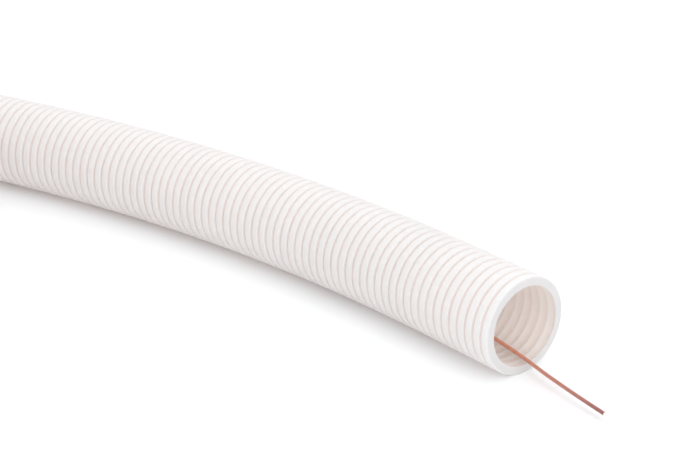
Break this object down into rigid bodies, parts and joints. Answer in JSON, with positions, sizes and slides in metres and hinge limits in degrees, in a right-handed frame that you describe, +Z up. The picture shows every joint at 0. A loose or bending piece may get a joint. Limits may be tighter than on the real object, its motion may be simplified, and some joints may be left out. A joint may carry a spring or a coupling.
{
  "type": "coil of corrugated conduit",
  "caption": "Round tied coil of white corrugated electrical conduit lying flat, its cut end led out over the floor with the copper-coloured pull wire showing.",
  "frame": {"origin": "on the coil's axis, on the floor that the coil lies on", "axes": "+Z up along the coil's axis; the free end leaves the coil's outer bottom turn at +Y, running towards +X and bending towards -Y"},
  "size_m": [0.8147, 0.6322, 0.0657],
  "materials": {
    "conduit_plastic": "satin white, thin wall, warm in the grooves and inside",
    "coppered_wire": "copper-coloured drawn wire, bright at its cut end",
    "strap_plastic": "plain pale polypropylene strap"
  },
  "bodies": {
    "root": {"coiled_turns": "conduit_plastic", "free_end": "conduit_plastic", "pull_wire": "coppered_wire", "tie_1": "strap_plastic", "tie_2": "strap_plastic", "tie_3": "strap_plastic"}
  },
  "joints": []
}
